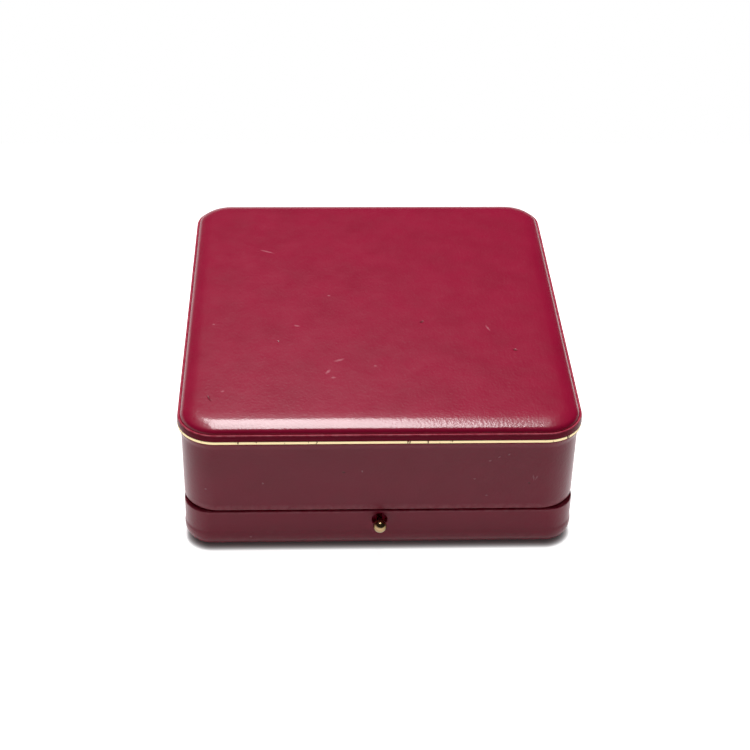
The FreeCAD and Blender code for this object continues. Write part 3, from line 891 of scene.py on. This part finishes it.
def ball_button():
    """The ball, its stem and the thinner spigot that holds the latch slide."""
    neck = math.degrees(math.asin(STEM_RADIUS / BALL_RADIUS))
    profile = []
    for step in range(1, BALL_STEPS + 1):
        turn = math.radians((HALF_TURN - neck) * step / BALL_STEPS)
        profile.append((-BALL_RADIUS * math.cos(turn), BALL_RADIUS * math.sin(turn)))
    profile.append((SLIDE_FRONT - BALL_Y, STEM_RADIUS))
    profile.append((SLIDE_FRONT - BALL_Y, SPIGOT_RADIUS))
    profile.append((button_high.y - BALL_Y, SPIGOT_RADIUS))
    bm = bmesh.new()
    turned(bm, profile, Vector((0, BALL_Y, BUTTON_Z)), BACK, ROD_SIDES)
    return finish_mesh(bm, "ball_button")


def leaf_spring():
    """A copy of the solid spring."""
    bm = bmesh.new()
    bm.from_mesh(frame["nodes"]["latch_spring"].data)
    return finish_mesh(bm, "leaf_spring")


def press_flat(spring):
    """Gives the spring its own mesh."""
    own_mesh(spring)


def soften(node):
    """Breaks the sharp edges of a metal part."""
    bevel = node.modifiers.new("bevel", "BEVEL")
    bevel.width = METAL_BEVEL
    bevel.segments = BEVEL_STEPS
    bevel.limit_method = "ANGLE"


def screws(name, heads, inwards):
    """Slotted countersunk screws, from the middles of their heads and the way they go in."""
    profile = [(0, SCREW_HEAD - SCREW_EDGE), (SCREW_EDGE, SCREW_HEAD), (SCREW_HEAD_HEIGHT, SCREW_SHANK)]
    profile += [(SCREW_LENGTH - SCREW_TAPER, SCREW_SHANK), (SCREW_LENGTH, SCREW_TIP)]
    bm = bmesh.new()
    slots = []
    for index, head in enumerate(heads):
        turned(bm, profile, head, inwards, SCREW_SIDES)
        slot = box_cutter((-SCREW_HEAD - SCREW_EDGE, -SLOT_WIDTH / 2, -SLOT_DEPTH),
                          (SCREW_HEAD + SCREW_EDGE, SLOT_WIDTH / 2, SLOT_DEPTH))
        spin = Matrix.Rotation(math.radians(SLOT_TURN * (index + 1)), 4, "Z")
        place = Matrix.Translation(head) @ inwards.to_track_quat("Z", "Y").to_matrix().to_4x4() @ spin
        bmesh.ops.transform(slot, matrix=place, verts=slot.verts)
        slots.append(slot)
    return cut(finish_mesh(bm, name), slots)


def hinge_screw_heads(node, z):
    """Middles of the heads of the four screws in one rim."""
    low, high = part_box(node)
    reach = high.x - SCREW_HEAD - HINGE_CENTRE
    middle_y = (low.y + high.y) / 2
    heads = []
    for centre in HINGE_CENTRES:
        for side in SIDES:
            heads.append(Vector((centre + side * reach, middle_y, z)))
    return heads


def base_hinge_screws():
    heads = hinge_screw_heads("base_hinge_screws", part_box("base_hinge_screws")[1].z)
    return screws("base_leaf_screws", heads, DOWN)


def lid_hinge_screws():
    heads = hinge_screw_heads("lid_hinge_screws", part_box("lid_hinge_screws")[0].z)
    return screws("lid_leaf_screws", heads, UP)


def strike_screws():
    low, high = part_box("strike_screws")
    heads = [Vector((side * (high.x - SCREW_HEAD), (low.y + high.y) / 2, high.z)) for side in SIDES]
    return screws("strike_plate_screws", heads, DOWN)


def keeper_screws():
    low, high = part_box("keeper_screws")
    heads = [Vector((side * (high.x - SCREW_HEAD), high.y, (low.z + high.z) / 2)) for side in SIDES]
    return screws("keeper_plate_screws", heads, FRONT)


# Node helpers

def feed(tree, socket, value):
    if isinstance(value, bpy.types.NodeSocket):
        tree.links.new(value, socket)
    else:
        socket.default_value = value


def add(tree, kind, inputs, **settings):
    node = tree.nodes.new("ShaderNode" + kind)
    for name, value in settings.items():
        setattr(node, name, value)
    for name, value in inputs.items():
        feed(tree, node.inputs[name], value)
    return node


def new_material(name):
    material = bpy.data.materials.new(name)
    material.use_nodes = True
    return material, material.node_tree, material.node_tree.nodes["Principled BSDF"]


def mix_colour(tree, share, first, second):
    node = add(tree, "Mix", {}, data_type="RGBA")
    feed(tree, node.inputs[0], share)
    colours = [socket for socket in node.inputs if socket.type == "RGBA"]
    feed(tree, colours[0], first)
    feed(tree, colours[1], second)
    return [socket for socket in node.outputs if socket.type == "RGBA"][0]


def math_node(tree, operation, first, second):
    return add(tree, "Math", {0: first, 1: second}, operation=operation).outputs[0]


def vector_node(tree, operation, *vectors):
    return add(tree, "VectorMath", dict(enumerate(vectors)), operation=operation).outputs["Vector"]


def vector_value(tree, operation, *vectors):
    return add(tree, "VectorMath", dict(enumerate(vectors)), operation=operation).outputs["Value"]


def place_socket(tree):
    return add(tree, "TexCoord", {}).outputs["Object"]


def stretched(tree, turn, stretch):
    inputs = {"Vector": place_socket(tree), "Rotation": (0, 0, math.radians(turn)), "Scale": stretch}
    return add(tree, "Mapping", inputs).outputs["Vector"]


def noise_socket(tree, place, size, detail=FINE_DETAIL):
    return add(tree, "TexNoise", {"Vector": place, "Scale": 1 / size, "Detail": detail}).outputs["Fac"]


def cells_socket(tree, place, size):
    inputs = {"Vector": place, "Scale": 1 / size}
    return add(tree, "TexVoronoi", inputs, feature="SMOOTH_F1").outputs["Distance"]


def ramp(tree, value, source, target=WHOLE):
    """Maps one range of values to another, held at its ends."""
    inputs = {"Value": value, "From Min": source[0], "From Max": source[1]}
    inputs.update({"To Min": target[0], "To Max": target[1]})
    return add(tree, "MapRange", inputs).outputs["Result"]


def bump(tree, height, depth, normal=None):
    """A surface raised by a height from 0 to 1 times a depth."""
    inputs = {"Height": height, "Strength": FULL, "Distance": depth}
    if normal is not None:
        inputs["Normal"] = normal
    return add(tree, "Bump", inputs).outputs["Normal"]


# Leather materials

def top_mark(x, y, turn, length, width):
    """Where a mark on the top lies: centre, turn and half sizes."""
    return (x, y, lip_high.z), (0, 0, math.radians(turn)), (length / 2, width / 2, MARK_REACH)


def front_mark(x, z, turn, length, width):
    """Where a mark on the front lies: centre, turn and half sizes."""
    return (x, -HALF_Y, z), (0, -math.radians(turn), 0), (length / 2, MARK_REACH, width / 2)


def marks_socket(tree, marks):
    """1 in the middle of each mark, with ragged edges, and 0 elsewhere."""
    place = place_socket(tree)
    ragged = add(tree, "TexNoise", {"Vector": place, "Scale": 1 / MARK_RAGGED_SIZE}).outputs["Color"]
    centred = vector_node(tree, "SUBTRACT", ragged, NOISE_MIDDLE)
    shift = add(tree, "VectorMath", {0: centred, "Scale": MARK_RAGGED}, operation="SCALE").outputs["Vector"]
    place = vector_node(tree, "ADD", place, shift)
    whole = 0
    for centre, turn, half in marks:
        inputs = {"Vector": place, "Location": centre, "Rotation": turn, "Scale": half}
        inside = add(tree, "Mapping", inputs, vector_type="TEXTURE").outputs["Vector"]
        distance = vector_value(tree, "LENGTH", inside)
        whole = math_node(tree, "MAXIMUM", ramp(tree, distance, MARK_SOFT, FADING), whole)
    return whole


def leather_colour(tree, scuffs, pits):
    place = place_socket(tree)
    mottle = ramp(tree, noise_socket(tree, place, MOTTLE_SIZE, MOTTLE_DETAIL), MOTTLE_RANGE)
    colour = mix_colour(tree, mottle, LEATHER_COLOUR, LEATHER_DEEP)
    # Pale edge colour by its share on the mesh: real wear, and a painted highlight on the bead and the
    # lid's foot
    wear_and_highlight = add(tree, "Attribute", {}, attribute_name="wear_and_highlight").outputs["Fac"]
    patchy = ramp(tree, noise_socket(tree, place, WEAR_SIZE), WEAR_RANGE, WEAR_SHARES)
    colour = mix_colour(tree, math_node(tree, "MULTIPLY", wear_and_highlight, patchy), colour, LEATHER_WORN_AND_HIGHLIGHT)
    colour = mix_colour(tree, ramp(tree, scuffs, WHOLE, (0, PALE_STRENGTH)), colour, LEATHER_SCUFF)
    return mix_colour(tree, ramp(tree, pits, WHOLE, (0, PIT_STRENGTH)), colour, LEATHER_PIT)


def leather_normal(tree, pits):
    """Grain and pores all over, creases that grow towards the right, and the pits."""
    place = place_socket(tree)
    across = add(tree, "SeparateXYZ", {"Vector": place}).outputs["X"]
    creases = noise_socket(tree, stretched(tree, CREASE_TURN, CREASE_STRETCH), CREASE_SIZE)
    creases = math_node(tree, "MULTIPLY", creases, ramp(tree, across, CREASE_FIELD, CREASE_SHARES))
    normal = bump(tree, creases, CREASE_HEIGHT)
    normal = bump(tree, cells_socket(tree, place, GRAIN_SIZE), GRAIN_HEIGHT, normal)
    normal = bump(tree, noise_socket(tree, place, PORE_SIZE), PORE_HEIGHT, normal)
    return bump(tree, ramp(tree, pits, WHOLE, FADING), PIT_DEPTH, normal)


def leather(name, coat, specular, scuffs, pits):
    """Mottled burgundy leather, paler at its worn edges and with a painted highlight line on the bead and
    the lid's foot, with its own gloss and marks.
    """
    material, tree, shader = new_material(name)
    scuffs = marks_socket(tree, scuffs)
    pits = marks_socket(tree, pits)
    tree.links.new(leather_colour(tree, scuffs, pits), shader.inputs["Base Color"])
    normal = leather_normal(tree, pits)
    tree.links.new(normal, shader.inputs["Normal"])
    tree.links.new(normal, shader.inputs["Coat Normal"])
    gloss = noise_socket(tree, place_socket(tree), GLOSS_SIZE)
    tree.links.new(ramp(tree, gloss, GLOSS_RANGE, LEATHER_ROUGHNESS), shader.inputs["Roughness"])
    shader.inputs["Specular IOR Level"].default_value = specular
    shader.inputs["Coat Weight"].default_value = coat
    shader.inputs["Coat Roughness"].default_value = COAT_ROUGHNESS
    return material


# Other materials

def metal(name, colour, dull, roughness):
    """Rubbed metal with duller patches."""
    material, tree, shader = new_material(name)
    place = place_socket(tree)
    tarnish = ramp(tree, noise_socket(tree, place, TARNISH_SIZE, TARNISH_DETAIL), TARNISH_RANGE)
    tree.links.new(mix_colour(tree, tarnish, colour, dull), shader.inputs["Base Color"])
    polish = noise_socket(tree, place, POLISH_SIZE)
    tree.links.new(ramp(tree, polish, POLISH_RANGE, roughness), shader.inputs["Roughness"])
    rubbed = noise_socket(tree, stretched(tree, 0, RUB_STRETCH), RUB_SIZE)
    tree.links.new(bump(tree, rubbed, RUB_HEIGHT), shader.inputs["Normal"])
    shader.inputs["Metallic"].default_value = FULL
    return material


def gilt():
    """Gilt with dark nicks across it."""
    material, tree, shader = new_material("gilt_foil")
    nicks = noise_socket(tree, stretched(tree, 0, NICK_STRETCH), NICK_SIZE, NICK_DETAIL)
    nicks = ramp(tree, nicks, NICK_RANGE)
    tree.links.new(mix_colour(tree, nicks, GILT, GILT_NICK), shader.inputs["Base Color"])
    tree.links.new(ramp(tree, nicks, WHOLE, GILT_METAL), shader.inputs["Metallic"])
    grain = noise_socket(tree, place_socket(tree), GILT_GRAIN_SIZE)
    tree.links.new(bump(tree, grain, GILT_GRAIN_HEIGHT), shader.inputs["Normal"])
    shader.inputs["Roughness"].default_value = GILT_ROUGHNESS
    return material


def cloth(name, colour, shade, sheen, rough, weave):
    """Cloth of uneven tone, with a fine weave or pile."""
    material, tree, shader = new_material(name)
    place = place_socket(tree)
    tone = ramp(tree, noise_socket(tree, place, TONE_SIZE, TONE_DETAIL), TONE_RANGE)
    tree.links.new(mix_colour(tree, tone, colour, shade), shader.inputs["Base Color"])
    pile = noise_socket(tree, place, weave)
    tree.links.new(bump(tree, pile, weave * WEAVE_HEIGHT_SHARE), shader.inputs["Normal"])
    shader.inputs["Roughness"].default_value = rough
    shader.inputs["Sheen Weight"].default_value = sheen
    shader.inputs["Sheen Roughness"].default_value = SHEEN_ROUGHNESS
    shader.inputs["Sheen Tint"].default_value = colour
    return material


def wood():
    """Bare pale wood, with its grain from side to side."""
    material, tree, shader = new_material("pale_wood")
    grain = noise_socket(tree, stretched(tree, 0, WOOD_GRAIN_STRETCH), WOOD_GRAIN_SIZE, WOOD_DETAIL)
    colour = mix_colour(tree, ramp(tree, grain, WOOD_GRAIN_RANGE), WOOD, WOOD_SHADE)
    tree.links.new(colour, shader.inputs["Base Color"])
    tree.links.new(bump(tree, grain, WOOD_GRAIN_HEIGHT), shader.inputs["Normal"])
    shader.inputs["Roughness"].default_value = WOOD_ROUGHNESS
    return material


# Stage

def floor_glow_and_painted_shadow(tree):
    """White glow for what is seen of the floor, fading out under the box's edge: painted shadow, which sets
    the contact shadow's width and falloff.
    """
    reach = vector_node(tree, "ABSOLUTE", place_socket(tree))
    inset = BASE_SETBACK + BASE_CORNER
    core = (HALF_X - inset, HALF_Y - inset, 0)
    beyond = vector_node(tree, "SUBTRACT", reach, core)
    beyond = vector_node(tree, "MAXIMUM", beyond, (0, 0, 0))
    distance = math_node(tree, "SUBTRACT", vector_value(tree, "LENGTH", beyond), BASE_CORNER)
    # The glow's share falls off towards the box's foot, painting the contact shadow
    share = math_node(tree, "POWER", ramp(tree, distance, PAINTED_SHADOW_SPAN), PAINTED_SHADOW_POWER)
    path = add(tree, "LightPath", {})
    seen = math_node(tree, "MAXIMUM", path.outputs["Is Camera Ray"], path.outputs["Is Glossy Ray"])
    seen = math_node(tree, "MAXIMUM", seen, path.outputs["Is Transmission Ray"])
    return math_node(tree, "MULTIPLY", ramp(tree, share, WHOLE, FLOOR_GLOW), seen)


def floor():
    bm = bmesh.new()
    bmesh.ops.create_grid(bm, x_segments=1, y_segments=1, size=FLOOR_SPAN / 2)
    piece = finish_mesh(bm, "floor")
    material = bpy.data.materials.new("floor")
    material.use_nodes = True
    tree = material.node_tree
    tree.nodes.clear()
    glow = add(tree, "Emission", {"Strength": floor_glow_and_painted_shadow(tree)})
    ground = add(tree, "BsdfDiffuse", {"Color": FLOOR_COLOUR})
    both = add(tree, "AddShader", {0: ground.outputs[0], 1: glow.outputs[0]})
    add(tree, "OutputMaterial", {"Surface": both.outputs[0]})
    piece.data.materials.append(material)


def softbox():
    """A long lamp above and behind the box."""
    light = bpy.data.lights.new("softbox", "AREA")
    light.shape = "RECTANGLE"
    light.size = SOFTBOX_WIDTH
    light.size_y = SOFTBOX_LENGTH
    light.energy = SOFTBOX_POWER
    side = math.radians(SOFTBOX_SIDE)
    height = math.radians(SOFTBOX_HEIGHT)
    away = Vector((math.sin(side), math.cos(side) * math.cos(height), math.cos(side) * math.sin(height)))
    piece = bpy.data.objects.new("softbox", light)
    turn = away.to_track_quat("Z", "Y").to_matrix().to_4x4()
    piece.matrix_world = Matrix.Translation(SOFTBOX_AIM + away * SOFTBOX_DISTANCE) @ turn
    bpy.context.scene.collection.objects.link(piece)


def room_light():
    """A dim room with a white backdrop, which glossy pieces mirror low down and further up on the left."""
    world = bpy.data.worlds.new("room")
    world.use_nodes = True
    bpy.context.scene.world = world
    tree = world.node_tree
    path = add(tree, "LightPath", {})
    seen = math_node(tree, "MAXIMUM", path.outputs["Is Camera Ray"], path.outputs["Is Transmission Ray"])
    towards = add(tree, "TexCoord", {}).outputs["Generated"]
    low = ramp(tree, vector_value(tree, "DOT_PRODUCT", towards, BACKDROP_LEAN), BACKDROP_SPAN, FADING)
    mirrored = math_node(tree, "MULTIPLY", low, path.outputs["Is Glossy Ray"])
    seen = math_node(tree, "MAXIMUM", seen, mirrored)
    background = tree.nodes["Background"]
    tree.links.new(ramp(tree, seen, WHOLE, ROOM_STRENGTHS), background.inputs["Strength"])
    background.inputs["Color"].default_value = WHITE


def camera():
    """A camera where the photograph was taken from, turned, tilted and rolled as fitted."""
    turn = math.radians(CAMERA_TURN)
    tilt = math.radians(CAMERA_TILT)
    roll = math.radians(CAMERA_ROLL)
    forward = Vector((math.sin(turn) * math.cos(tilt), math.cos(turn) * math.cos(tilt), -math.sin(tilt)))
    level = Vector((math.cos(turn), -math.sin(turn), 0))
    rise = level.cross(forward)
    right = level * math.cos(roll) + rise * math.sin(roll)
    up = rise * math.cos(roll) - level * math.sin(roll)
    data = bpy.data.cameras.new("camera")
    data.sensor_width = CAMERA_SENSOR
    data.lens = CAMERA_SENSOR * CAMERA_FOCUS_SHARE
    data.clip_start = CAMERA_NEAR
    piece = bpy.data.objects.new("camera", data)
    axes = Matrix((right, up, -forward)).transposed().to_4x4()
    piece.matrix_world = Matrix.Translation(CAMERA_PLACE) @ axes
    bpy.context.scene.collection.objects.link(piece)
    bpy.context.scene.camera = piece


# Putting it together

front_scuffs = [front_mark(*mark) for mark in FRONT_SCUFFS]
front_pits = [front_mark(*mark) for mark in FRONT_PITS]
top_scuffs = [top_mark(*mark) for mark in TOP_SCUFFS]
top_pits = [top_mark(*mark) for mark in TOP_PITS]
slots = {
    "brass": metal("polished_brass", BRASS, BRASS_DULL, BRASS_ROUGHNESS),
    "spring_steel": metal("spring_steel", STEEL, STEEL_DULL, STEEL_ROUGHNESS),
    "wood": wood(),
    "velvet": cloth("velvet", VELVET, VELVET_SHADE, VELVET_SHEEN, VELVET_ROUGHNESS, VELVET_WEAVE),
    "satin": cloth("satin", SATIN, SATIN_SHADE, SATIN_SHEEN, SATIN_ROUGHNESS, SATIN_WEAVE),
    "underside": cloth("felt", FELT, FELT_SHADE, FELT_SHEEN, FELT_ROUGHNESS, FELT_WEAVE),
    "gilt": gilt(),
    "leather": leather("wall_leather", WALL_COAT, WALL_SPECULAR, front_scuffs, front_pits),
}
# The ball's brass is a darker copy, painted shade on its reflection
ball_brass_shaded = metal("ball_brass_shaded", BALL_BRASS_SHADED, BALL_BRASS_SHADED_DULL, BALL_BRASS_ROUGHNESS)
# Painted shade: near-black brass for the latch pieces behind the button
recess_shade_brass = metal("recess_shade_brass", RECESS_SHADE_BRASS, RECESS_SHADE_BRASS_DULL, RECESS_SHADE_BRASS_ROUGHNESS)
top_leather = leather("top_leather", TOP_COAT, TOP_SPECULAR, top_scuffs, top_pits)
lip_leather = leather("lip_leather", LIP_COAT, LIP_SPECULAR, [], [])

# Each solid gets its slot's material. The latch's inner pieces get near-black brass, painted shade for the
# recess behind the button, and the bush gets the dull lip leather
for part in frame["record"]["subparts"]:
    node = frame["nodes"][part["node"]]
    node.data.materials.clear()
    node.data.materials.append(slots[part["material_slot"]])
    if part["material_slot"] == "brass":
        soften(node)
for name in RECESS_SHADE_NODES:
    frame["nodes"][name].data.materials[0] = recess_shade_brass
frame["nodes"]["button_bush"].data.materials[0] = lip_leather

# Pieces that stand for the solids
dull_lip(dress(lid_top_cover(), top_leather, "lid", "lid_top_leather"), lip_leather)
dress(lid_wall_cover(), slots["leather"], "lid", "lid_wall_leather")
dress(base_cover(), slots["leather"], "base", "base_leather")
dress(gilt_strip(), slots["gilt"], "lid", "gilt_line")
dress(ball_button(), ball_brass_shaded, "button", "push_button")
press_flat(dress(leaf_spring(), slots["spring_steel"], "base", "latch_spring"))
dress(base_lining(), slots["velvet"], "base", "base_wall_lining")
dress(floor_lining(), slots["velvet"], "base", "base_floor_lining")
dress(platform(), slots["velvet"], "base", "velvet_platform")
dress(lid_lining(), slots["satin"], "lid", "lid_wall_lining")
dress(under_panel(), slots["underside"], "base", "underside_panel")
dress(base_hinge_screws(), slots["brass"], "base", "base_hinge_screws")
dress(lid_hinge_screws(), slots["brass"], "lid", "lid_hinge_screws")
dress(strike_screws(), slots["brass"], "base", "strike_screws")
dress(keeper_screws(), slots["brass"], "lid", "keeper_screws")
dress(island(), slots["velvet"], "base", "bracelet_pad")
dress(ceiling_pad(), slots["satin"], "lid", "lid_pad")

floor()
softbox()
room_light()
camera()

bpy.context.scene.view_settings.view_transform = "Standard"
